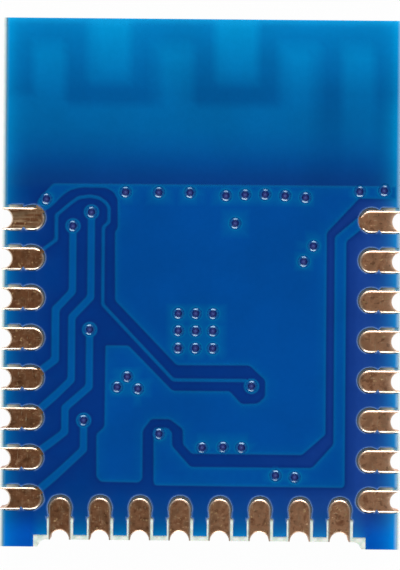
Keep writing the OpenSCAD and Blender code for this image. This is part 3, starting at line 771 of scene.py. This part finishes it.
@dataclass
class Film:
    """Solder mask of one face: a sheet that flows over copper, rounds off at openings and sinks into vias.

    All sizes are in millimetres. The sheet is worked out with its outward side up and turned over at the end.
    """

    name: str
    node: str
    side: Side
    via_nodes: tuple[str, ...]
    # Relief: the step over copper, and the rounded rim of an opening.
    lift: float = 0.015
    foot: float = 0.02
    crest: float = 0.07
    rim_drop: float = 0.026
    rim_reach: float = 0.065
    tight_share: float = 0.25
    straight: float = 0.97
    film_t: float = 0.065
    # Where the film's edge strays: out at left pads, in at end pads, and in spurs on to side pads.
    slip: tuple[Band, Band] = ((-7.3, -7.0, -6.5, -5.83, -5.4), (0.0, -0.09, -0.095, -0.045, 0.0))
    slip_y: Band = (-8.9, 2.95, 0.25, 0.1)
    squeeze: float = 0.05
    squeeze_x: tuple[Band, Band] = ((0.0, 0.4, 0.52, 0.7), (0.0, 1.0, 1.0, 0.0))
    squeeze_y: Band = (-8.74, -7.95, 0.15, 0.3)
    spur_in: tuple[tuple[str, int, float], ...] = (("left", 0, 0.89), ("right", 1, -0.85))
    spur_down: float = 0.36
    spur_r: float = 0.09
    spur_rise: float = 0.06
    # Reach of the painted highlight at a spur's rim.
    spur_glint_reach: float = 0.055
    spur_firm: float = 0.8
    # Points of the sheet.
    spacing: float = 0.12
    step_rows: Band = (-0.13, -0.06, -0.012, 0.008, 0.022, 0.036, 0.055, 0.1, 0.16)
    rim_rows: Band = (0.012, 0.026, 0.042, 0.065)
    slack: float = 0.004
    rim_clear: float = 0.01
    step_clear: float = 0.006
    fill_pitch: float = 0.4
    fill_clear: float = 0.2
    join_slack: float = 1e-5
    # Vias: radius and depth of each ring of sunk resin, and the ring where the plug starts.
    lip_r: float = 0.245
    lip_turns: int = 32
    lip_clear: float = 0.02
    lip_slack: float = 1e-4
    collar: float = 1.2
    sink: tuple[tuple[float, float], ...] = (
        (0.222, 0.0), (0.204, 0.001), (0.192, 0.005), (0.176, 0.0135), (0.16, 0.0222), (0.147, 0.0282),
        (0.1375, 0.0294), (0.134, 0.042), (0.122, 0.062), (0.1, 0.076), (0.06, 0.083),
        (0.03, 0.085), (0.0, 0.086))
    plug_ring: int = 7
    # Reach of the painted highlight in the plug's middle.
    painted_glint_r: float = 0.055
    # Paint: thin film near steps and lips, painted highlights on the rims, and the antenna's painted shadow.
    near_reach: float = 0.07
    lip_reach: float = 0.05
    halo: float = 0.03
    halo_x: float = 7.2
    halo_y: tuple[float, float] = (-8.9, 9.6)
    fade: tuple[Band, Band] = ((4.0, 7.2), (0.1, 0.9))
    shadow_reach: float = 0.24
    # Read from the CAD nodes; a row of steps or rims is two points and the direction inwards.
    steps: Array = field(init=False)
    rims: Array = field(init=False)
    vias: Array = field(init=False)
    tree: BVHTree = field(init=False)
    top: float = field(init=False)
    base: float = field(init=False)
    # The sheet: its points, their nearness to a spur's tip, their paint, and its triangles.
    flat: Array = field(init=False)
    spur: Array = field(init=False)
    paint: Array = field(init=False)
    faces: list[Face] = field(init=False)

    def read(self) -> None:
        """Reads the copper's steps, the rims of the openings and the vias from the CAD nodes."""
        sign = self.side.value
        solid = solid_of(self.node)
        for point in solid.verts:
            point.co = Vector((point.co.x / MM, point.co.y / MM, sign * point.co.z / MM))
        if self.side is Side.COMPONENT:
            bmesh.ops.reverse_faces(solid, faces=solid.faces)
        solid.normal_update()
        self.top = max(point.co.z for point in solid.verts)
        self.base = self.top - self.lift
        self.tree = BVHTree.FromBMesh(solid)
        steps, rims = [], []
        for line in solid.edges:
            flats = [face for face in line.link_faces if face.normal.z > FLAT]
            walls = [face for face in line.link_faces if abs(face.normal.z) < UPRIGHT]
            level = line.verts[0].co.z
            if len(flats) != 1 or len(walls) != 1 or level < self.base - SLACK:
                continue
            heights = [point.co.z for point in walls[0].verts]
            raised = level > self.base + SLACK
            a, b = line.verts[0].co.xy, line.verts[1].co.xy
            inward = Vector((a.y - b.y, b.x - a.x)).normalized()
            if (flats[0].calc_center_median().xy - a).dot(inward) < 0:
                inward.negate()
            if raised and min(heights) > self.base - SLACK:
                steps.append((*a, *b, *inward))
            elif raised or max(heights) < self.base + SLACK:
                rims.append((*a, *b, *inward))
        solid.free()
        self.steps, self.rims = np.array(steps), np.array(rims)
        self.vias = np.concatenate([middles(node) for node in self.via_nodes])

    def level(self, points: Array) -> Array:
        """Looks up the film's height in the CAD node at some points, NO_FILM where it is open."""
        hits = (self.tree.ray_cast(Vector((x, y, self.top + 1)), DOWN)[0] for x, y in points)
        return np.array([hit.z if hit and hit.z > self.base - SLACK else NO_FILM for hit in hits])

    def along(self, lines: Array, offsets: Band) -> Array:
        """Spreads points beside lines.

        Args:
            lines: Steps or rims.
            offsets: Distances inwards.

        Returns:
            The points that are no nearer to another line.
        """
        found, sizes = [], []
        for line in lines:
            run = line[2:4] - line[:2]
            count = max(1, math.ceil(math.hypot(*run) / self.spacing))
            middle = line[:2] + (np.arange(count) + 0.5)[:, None] / count * run
            for offset in offsets:
                found.append(middle + line[4:] * offset)
                sizes += [abs(offset)] * count
        points = np.concatenate(found)
        return points[distances(points, lines) > np.array(sizes) - self.slack]

    def scatter(self) -> Array:
        """Chooses the points inside the sheet.

        Returns:
            Rows of points beside the steps and the rims, and a wide grid between them.
        """
        beside = self.along(self.steps, self.step_rows)
        beside = beside[distances(beside, self.rims) > self.rim_clear]
        inside = self.along(self.rims, self.rim_rows)
        inside = inside[distances(inside, self.steps) > self.step_clear]
        ends = self.rims[:, :2]
        ticks = (np.arange(a, b, self.fill_pitch) for a, b in zip(ends.min(0), ends.max(0)))
        grid = np.stack(np.meshgrid(*ticks), -1).reshape(-1, 2)
        grid = grid[distances(grid, np.concatenate([self.steps, self.rims])) > self.fill_clear]
        points = np.concatenate([beside, inside, grid])
        points = points[nearest(points, self.vias) > self.lip_r + self.lip_clear]
        return points[self.level(points) > NO_FILM]

    def triangulate(self) -> None:
        """Joins the points into a sheet that ends at the rims and at the lips of the vias."""
        count = self.lip_turns
        circle = self.lip_r * spokes(count)
        rim = self.rims[:, :4].reshape(-1, 2)
        lips, collars = ((self.vias[:, None] + scale * circle).reshape(-1, 2) for scale in (1, self.collar))
        collars = collars[self.level(collars) > NO_FILM]
        points = np.concatenate([rim, lips, self.scatter(), collars])
        joins = [(index, index + 1) for index in range(0, len(rim), 2)]
        for first in range(len(rim), len(rim) + len(lips), count):
            joins += [(first + turn, first + (turn + 1) % count) for turn in range(count)]
        flat, _, faces, *_ = delaunay_2d_cdt(
            [Vector(point) for point in points], joins, [], 0, self.join_slack)
        self.flat = np.array([point[:] for point in flat])
        middle = np.array([self.flat[list(face)].mean(0) for face in faces])
        clear = nearest(middle, self.vias) > self.lip_r * math.cos(math.pi / count) - self.lip_slack
        keep = (self.level(middle) > NO_FILM) & clear
        self.faces = [tuple(face) for face, kept in zip(faces, keep) if kept]

    def build(self, finishes: list[Material], slot: str) -> Object:
        """Builds the film.

        Args:
            finishes: Materials of the sheet, of the vias' lips and of their plugs.
            slot: Passed on to the piece, which does not use it.

        Returns:
            The film's object.
        """
        self.read()
        self.triangulate()
        self.spur = bell(nearest(self.flat, self.spurs()), self.spur_r)
        height = self.relief()
        if self.side is Side.SOLDER:
            self.stray()
        sign = self.side.value
        piece = Piece(self.name)
        faces = [face[::sign] for face in self.faces]
        piece.add(np.column_stack([self.flat, sign * height]), faces, 0, self.paint)
        self._skirt(piece)
        self._vias(piece)
        return piece.make(finishes, slot, self.node)

    def relief(self) -> Array:
        """Paints the sheet, and works out how it rises over copper and drops at rims.

        Returns:
            The height of each point.
        """
        flat, spur, (low, high) = self.flat, self.spur, self.halo_y
        deep = distances(flat, self.steps) * np.where(self.level(flat) > self.base + 2 * SLACK, 1, -1)
        rise = smooth((deep + self.foot) / (self.crest + self.foot))
        gap = np.maximum(nearest(flat, self.vias) - self.lip_r, 0)
        near = np.maximum(np.exp(-np.abs(deep) / self.near_reach), np.exp(-gap / self.lip_reach))
        edge = distances(flat, self.rims)
        below = self.rims[(self.rims[:, 5] < -self.straight) & (self.rims[:, 1] < high)]
        tight = distances(flat, below) < edge + EQUAL
        x, y = flat.T
        pads = (np.abs(x) < self.halo_x) & (y > low) & (y < high) & ~tight
        # Painted highlight on the rims round the pads and at the spurs' tips.
        pale = np.maximum(pads * bell(edge, self.halo), spur * bell(edge, self.spur_glint_reach))
        self.paint = np.stack([rise, near, pale, self.shadow()], 1)
        drop = self.rim_drop * np.where(tight, self.tight_share, 1) * (1 - self.spur_firm * spur)
        return self.base + self.lift * rise - drop * fall(edge, self.rim_reach)

    def shadow(self) -> Array:
        """Finds how far the antenna on the other face darkens the sheet.

        Returns:
            A share from 0 to 1 for each point.
        """
        if self.side is Side.COMPONENT:
            return np.zeros(len(self.flat))
        tree, level = tree_of("antenna"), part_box("antenna")[0][2]
        away = np.array([tree.find_nearest(Vector((x * MM, y * MM, level)))[3] / MM for x, y in self.flat])
        return np.interp(self.flat[:, 1], *self.fade) * bell(away, self.shadow_reach)

    def spurs(self) -> Array:
        """Finds the tip of the film's spur at the lower edge of each side pad, one row of x and y each."""
        boxes = [(box_mm(f"{side}_terminal_{row}"), end, inset)
                 for side, end, inset in self.spur_in for row in ROWS]
        return np.array([(box[end, 0] + inset, box[:, 1].mean() - self.spur_down)
                         for box, end, inset in boxes])

    def stray(self) -> None:
        """Moves the film's edge out at left pads, in at end pads, and on to side pads in spurs."""
        x, y = self.flat.T
        across = np.interp(x, *self.slip) * within(y, *self.slip_y)
        for row in ROWS:
            gap = x - box_mm(f"end_terminal_{row}")[:, 0].mean()
            share = np.interp(np.abs(gap), *self.squeeze_x) * within(y, *self.squeeze_y)
            across -= self.squeeze * np.sign(gap) * share
        self.flat = np.column_stack([x + across, y + self.spur_rise * self.spur])

    def _skirt(self, piece: Piece) -> None:
        """Closes the sheet's rims down to the laminate.

        Args:
            piece: Mesh that the walls go into.
        """
        sign = self.side.value
        sides = dict.fromkeys(pair for face in self.faces for pair in zip(face, face[1:] + face[:1]))
        outside = nearest(self.flat, self.vias) > self.lip_r + self.slack
        rims = [(a, b) for a, b in sides if (b, a) not in sides and (outside[a] or outside[b])]
        used = sorted({index for pair in rims for index in pair})
        low = np.column_stack([self.flat[used], np.full(len(used), sign * (self.top - self.film_t))])
        first = piece.add(low, [], 0, self.paint[used])
        number = {index: first + order for order, index in enumerate(used)}
        piece.faces += [(b, a, number[a], number[b])[::sign] for a, b in rims]
        piece.slots += [0] * len(rims)

    def _vias(self, piece: Piece) -> None:
        """Adds the sunk resin of each via.

        Args:
            piece: Mesh that the resin goes into.
        """
        count, sign = self.lip_turns, self.side.value
        rings = ((self.lip_r, 0.0), *self.sink)
        faces = [face[::sign] for face in quads(len(rings), count, closed=True)]
        slots = [1 if index < self.plug_ring * count else 2 for index in range(len(faces))]
        # The fourth value paints a highlight into the plug's middle.
        paint = np.repeat([(1.0, 1.0, 0.0, bell(radius, self.painted_glint_r)) for radius, _ in rings], count, 0)
        for middle in self.vias:
            rows = [np.column_stack([middle + radius * spokes(count),
                                     np.full(count, sign * (self.top - depth))]) for radius, depth in rings]
            piece.add(np.concatenate(rows), faces, slots, paint)


@dataclass
class Terminal:
    """One plated edge terminal: a pad on each face, its edges rubbed round, and the half-round wall.

    All sizes are in millimetres. The terminal's own x runs inwards from the middle of its half-hole.
    """

    node: str
    edge: Edge
    hole_r: float = 0.36
    plating: float = 0.04
    copper_t: float = 0.035
    round_w: float = 0.085
    hole_round: float = 0.06
    foot_h: float = 0.003
    lip_drop: float = 0.014
    # Reach of the wider painted highlight on the lip.
    lip_fade: float = 0.11
    edge_wear_and_glint: float = 1.3
    lip_glint: float = 1.6
    join_reach: float = 0.03
    join_blend: Band = (0.25, 0.5, 0.25)
    side_points: int = 12
    tip_points: int = 30
    rings: int = 22
    wall_rows: int = 7
    low: Array = field(init=False)
    high: Array = field(init=False)
    length: float = field(init=False)
    width: float = field(init=False)

    def __post_init__(self) -> None:
        """Measures the CAD node."""
        self.low, self.high = box_mm(self.node)
        self.width, self.length = sorted((self.high - self.low)[:2])

    def outline(self) -> Array:
        """Draws the pad's outline from the board's edge round the tip and back.

        Returns:
            One row of x and y each, in the terminal's own axes.
        """
        half = self.width / 2
        run = np.linspace(0, self.length - half, self.side_points)[:-1]
        turns = np.linspace(math.pi / 2, -math.pi / 2, self.tip_points)
        tip = np.stack([self.length - half + half * np.cos(turns), half * np.sin(turns)], 1)
        upper = np.stack([run, np.full(len(run), half)], 1)
        return np.concatenate([upper, tip, upper[::-1] * (1, -1)])

    def place(self, points: Array) -> Array:
        """Turns points from the terminal's own axes to the part's.

        Args:
            points: Places in the terminal's own axes.

        Returns:
            The places on the part.
        """
        low, high, middle = self.low, self.high, (self.low + self.high) / 2
        origin = {Edge.LEFT: (low[0], middle[1]), Edge.RIGHT: (high[0], middle[1]),
                  Edge.END: (middle[0], low[1])}[self.edge]
        cosine, sine = math.cos(self.edge.value), math.sin(self.edge.value)
        x, y = points[:, 0], points[:, 1]
        turned = np.column_stack([origin[0] + x * cosine - y * sine, origin[1] + x * sine + y * cosine])
        return np.column_stack([turned, points[:, 2:]])

    def joined(self, outline: Array, copper: BVHTree) -> Array:
        """Finds where copper runs on from the pad, so that its edge is not rounded there.

        Args:
            outline: The pad's outline.
            copper: The copper of the solder side, in metres.

        Returns:
            A share from 0 to 1 for each point of the outline.
        """
        along = np.gradient(outline, axis=0)
        outward = np.column_stack([-along[:, 1], along[:, 0]]) / np.linalg.norm(along, axis=1)[:, None]
        beside = self.place(outline + self.join_reach * outward) * MM
        found = [copper.ray_cast(Vector((x, y, 1.0)), DOWN)[0] is not None for x, y in beside]
        return np.convolve(np.pad(np.array(found, dtype=float), 1, "edge"), self.join_blend, "valid")

    def face(self, copper: BVHTree) -> tuple[Array, Array]:
        """Makes one pad's surface, in spokes from the half-hole to the outline.

        Args:
            copper: The copper of the solder side, in metres.

        Returns:
            Points with their height over the laminate, and their paint: rubbed outline with a painted
            highlight, painted lip highlight, wider painted lip highlight.
        """
        outer = self.outline()
        inner = self.hole_r * outer / np.linalg.norm(outer, axis=1)[:, None]
        share = 0.5 - 0.5 * np.cos(np.linspace(0, math.pi, self.rings))
        flat = inner[:, None, :] + share[None, :, None] * (outer - inner)[:, None, :]
        x, y = flat[..., 0], flat[..., 1]
        half = self.width / 2
        tip = self.length - half
        inside = half - np.where(x < tip, np.abs(y), np.hypot(x - tip, y))
        inside += self.joined(outer, copper)[:, None] * self.round_w
        hole = np.hypot(x, y) - self.hole_r
        height = self.copper_t - np.maximum((self.copper_t - self.foot_h) * fall(inside, self.round_w),
                                            self.lip_drop * fall(hole, self.hole_round))
        # The outline's paint is rubbed wear and a painted highlight; the lip's is a painted highlight.
        edge = smooth(self.edge_wear_and_glint * (1 - inside / self.round_w))
        lip = smooth(self.lip_glint * (1 - hole / self.hole_round))
        paint = np.stack([edge, lip, np.exp(-hole / self.lip_fade), lip], -1)
        return np.dstack([flat, height]).reshape(-1, 3), paint.reshape(-1, 4)

    def build(self, finish: Material, slot: str, copper: BVHTree) -> Object:
        """Builds the terminal in place of its CAD node.

        Args:
            finish: Material of the plating.
            slot: Passed on to the piece, which does not use it.
            copper: The copper of the solder side, in metres.

        Returns:
            The terminal's object.
        """
        surface, paint = self.face(copper)
        top, bottom = self.high[2] - self.copper_t, self.low[2] + self.copper_t
        upper, lower = surface + (0, 0, top), surface * (1, 1, -1) + (0, 0, bottom)
        count = self.rings
        faces = quads(len(surface) // count, count)
        piece = Piece("plated_" + self.node)
        piece.add(upper, [face[::-1] for face in faces], 0, paint)
        piece.add(lower, faces, 0, paint)
        self._wall(piece, upper[::count], lower[::count])
        for face, level in ((upper, top), (lower, bottom)):
            for strip in (face[:count], face[-count:], face[count - 1::count]):
                foot = strip * (1, 1, 0) + (0, 0, level)
                piece.add(np.concatenate([strip, foot]), quads(2, len(strip)))
        piece.points = list(map(tuple, self.place(np.array(piece.points))))
        return piece.make([finish], slot, self.node)

    def _wall(self, piece: Piece, upper: Array, lower: Array) -> None:
        """Adds the half-round wall and its two cut faces.

        Args:
            piece: Mesh that the wall goes into.
            upper: Points of the hole's upper rim.
            lower: Points of the hole's lower rim.
        """
        share = np.linspace(0, 1, self.wall_rows)[:, None, None]
        rows = upper[None] + share * (lower - upper)[None]
        piece.add(rows.reshape(-1, 3), quads(self.wall_rows, len(upper)))
        for inner in (rows[:, 0], rows[:, -1]):
            grown = inner * (1, 1 + self.plating / self.hole_r, 1)
            piece.add(np.concatenate([inner, grown]), quads(2, self.wall_rows))


TRACKS = ("ground_copper", "supply_copper", *(f"track_to_left_{row}" for row in (2, 5, 6, 7, 8)))
VIAS = ("ground_vias", "thermal_vias", "supply_vias", "signal_vias")


@dataclass
class Terminals:
    """The 24 terminals on three edges."""

    slot: str = "terminal_plating"
    beside: tuple[str, ...] = TRACKS

    def build(self, finish: Material) -> list[Object]:
        """Builds every terminal.

        Args:
            finish: Material of the plating.

        Returns:
            The terminals' objects.
        """
        copper = tree_of(*self.beside)
        return [Terminal(f"{edge.name.lower()}_terminal_{row}", edge).build(finish, self.slot, copper)
                for edge in Edge for row in ROWS]


@dataclass(frozen=True)
class Kept:
    """CAD nodes that are shown as they are, with one finish and rubbed edges."""

    nodes: tuple[str, ...]
    finish: Finish
    bevel: float = 0.0
    segments: int = 3

    def dress(self) -> None:
        """Gives the nodes their material and rounds their edges."""
        material = self.finish.material()
        for name in self.nodes:
            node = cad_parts[name]
            for slot in node.material_slots:
                slot.link = "OBJECT"
                slot.material = material
            if self.bevel:
                edge = node.modifiers.new("rubbed_edges", "BEVEL")
                edge.width = self.bevel * MM
                edge.segments = self.segments
                edge.limit_method = "ANGLE"
            LOG.info("kept %s: %s", name, material.name)


COPPER = TerminalFinish("plated_copper", left=srgb(180, 134, 96), tarnish=srgb(132, 96, 68))
BARREL = MetalFinish("plated_barrel", srgb(206, 140, 100), srgb(140, 84, 56), 0.42, 10.0)
TIN = MetalFinish("tinned_ends", srgb(214, 214, 208), srgb(166, 166, 162), 0.34, 8.0, depth=0.008)
SOLDER = MetalFinish("reflowed_solder", srgb(206, 208, 210), srgb(150, 154, 158), 0.24, 5.0, depth=0.01)
LID = MetalFinish("brushed_lid", srgb(222, 214, 192), srgb(182, 174, 154), 0.3, 5.0, (1.0, 14.0, 1.0))
ENDS = ("chip_leads", "capacitor_ends", "bulk_capacitor_ends", "inductor_ends", "resistor_ends")
MOULDED = (  # Node, finish, base, grains, roughness and bevel.
    ("chip_body", "black_resin", (34, 34, 36), (74, 74, 78), 0.55, 0.03),
    ("crystal_base", "dark_ceramic", (58, 50, 46), (96, 84, 76), 0.5, 0.02),
    ("capacitor_bodies", "tan_ceramic", (190, 158, 116), (150, 118, 82), 0.42, 0.02),
    ("bulk_capacitor_body", "brown_ceramic", (150, 112, 78), (110, 80, 54), 0.42, 0.03),
    ("inductor_body", "white_ceramic", (222, 226, 226), (176, 184, 190), 0.35, 0.02),
    ("resistor_body", "black_glaze", (26, 26, 30), (56, 56, 62), 0.22, 0.015),
)
KEPT = (
    Kept(("laminate",), LaminateFinish()),
    Kept((*TRACKS, "component_side_tracks", "antenna"), COPPER),
    Kept(VIAS, BARREL),
    Kept(ENDS, TIN, 0.02),
    Kept(("crystal_lid",), LID, 0.02),
    Kept(("solder_joints",), SOLDER, 0.012),
    *(Kept((node,), MouldedFinish(name, srgb(*base), srgb(*grains), roughness), bevel)
      for node, name, base, grains, roughness, bevel in MOULDED),
)
VIA_LIP = ViaFinish("via_lip", srgb(2, 70, 140), srgb(6, 92, 150), 0.18, 1.0, srgb(6, 92, 150))
# The plug's last colour is the painted highlight in its middle.
VIA_PLUG = ViaFinish("via_plug", srgb(22, 32, 98), srgb(14, 38, 110), 0.5, 0.2, srgb(78, 88, 150))


@dataclass(frozen=True)
class Lamp:
    """A soft lamp: its tilt from overhead and turn from +X in degrees, size in metres, power and tint."""

    name: str
    tilt: float
    turn: float
    size: tuple[float, float]
    watts: float
    tint: tuple[float, float, float]


LAMPS = (
    Lamp("lamp_antenna_end", 58.0, 80.0, (0.22, 0.1), 0.55, (1.0, 0.985, 0.96)),
    Lamp("lamp_terminal_end", 58.0, 270.0, (0.16, 0.1), 0.45, (0.8, 0.92, 1.0)),
)


@dataclass
class Stage:
    """White paper, two long lamps at the ends and the camera straight above.

    Sizes are in metres, but the lens and the sensor in millimetres.
    """

    floor_half: float = 0.4
    floor_drop: float = 2e-6
    lamp_away: float = 0.22
    frame_height: float = 21.38 * MM
    film_z: float = 1.785 * MM
    lens: float = 120.0
    sensor: float = 36.0
    clip: tuple[float, float] = (MM, 10.0)
    turn: float = math.radians(0.51)
    centre: tuple[float, float] = (-0.0596 * MM, -0.054 * MM)
    horizon: Rgba = (0.36, 0.36, 0.36, 1.0)
    overhead: Rgba = (0.004, 0.004, 0.004, 1.0)
    overhead_from: float = 0.9
    white: Rgba = (1.0, 1.0, 1.0, 1.0)

    def build(self) -> None:
        """Sets up the floor, the light and the camera."""
        self._floor()
        self._sky()
        for lamp in LAMPS:
            self._lamp(lamp)
        self._camera()
        bpy.context.scene.view_settings.view_transform = "Standard"

    def _floor(self) -> None:
        """Lays the paper under the part."""
        mesh = bpy.data.meshes.new("paper")
        half = self.floor_half
        corners = ((-half, -half), (half, -half), (half, half), (-half, half))
        mesh.from_pydata([(x, y, -self.floor_drop) for x, y in corners], [], [(0, 1, 2, 3)])
        mesh.materials.append(FloorFinish().material())
        floor = bpy.data.objects.new("paper", mesh)
        bpy.context.scene.collection.objects.link(floor)

    def _sky(self) -> None:
        """Makes a plain soft surround: white to the eye, dim overhead where the camera hangs."""
        world = bpy.data.worlds.new("studio")
        tree = Tree(world)
        up = tree.node("SeparateXYZ", {0: tree.node("TexCoord").outputs["Generated"]}).outputs[2]
        band = tree.ramp(up, ((0.0, self.horizon), (self.overhead_from, self.overhead)))
        soft, seen = (tree.node("Background", {0: colour}).outputs[0] for colour in (band, self.white))
        eye = tree.node("LightPath").outputs["Is Camera Ray"]
        mixer = tree.node("MixShader", {0: eye, 1: soft, 2: seen})
        tree.node("OutputWorld", {0: mixer.outputs[0]})
        bpy.context.scene.world = world

    def _lamp(self, lamp: Lamp) -> None:
        """Hangs one lamp, facing the part.

        Args:
            lamp: Its place, size and power.
        """
        light = bpy.data.lights.new(lamp.name, "AREA")
        light.shape = "RECTANGLE"
        light.size, light.size_y = lamp.size
        light.energy, light.color = lamp.watts, lamp.tint
        hung = bpy.data.objects.new(lamp.name, light)
        tilt, turn = math.radians(lamp.tilt), math.radians(lamp.turn)
        aim = Vector((math.sin(tilt) * math.cos(turn), math.sin(tilt) * math.sin(turn), math.cos(tilt)))
        hung.location = aim * self.lamp_away
        hung.rotation_euler = aim.to_track_quat("Z", "Y").to_euler()
        bpy.context.scene.collection.objects.link(hung)

    def _camera(self) -> None:
        """Hangs the camera so that the film's face fills the picture as in the photograph."""
        data = bpy.data.cameras.new("camera")
        data.lens, data.sensor_width = self.lens, self.sensor
        data.clip_start, data.clip_end = self.clip
        camera = bpy.data.objects.new("camera", data)
        away = self.frame_height * self.lens / self.sensor
        camera.location = (*self.centre, self.film_z + away)
        camera.rotation_euler = (0, 0, self.turn)
        bpy.context.scene.collection.objects.link(camera)
        bpy.context.scene.camera = camera


def main() -> None:
    """Builds and dresses the module."""
    logging.basicConfig(level=logging.INFO, format="%(message)s")
    for kept in KEPT:
        kept.dress()
    lip, plug = VIA_LIP.material(), VIA_PLUG.material()
    Film("solder_side_film", "solder_side_mask", Side.SOLDER, VIAS).build(
        [FilmFinish().material(), lip, plug], "solder_mask")
    Film("component_side_film", "component_side_mask", Side.COMPONENT, (VIAS[0], *VIAS[2:])).build(
        [FilmFinish("blue_film_below", paints_backlight=False).material(), lip, plug], "solder_mask")
    Terminals().build(TerminalFinish().material())
    Stage().build()


if __name__ == "__main__":
    main()
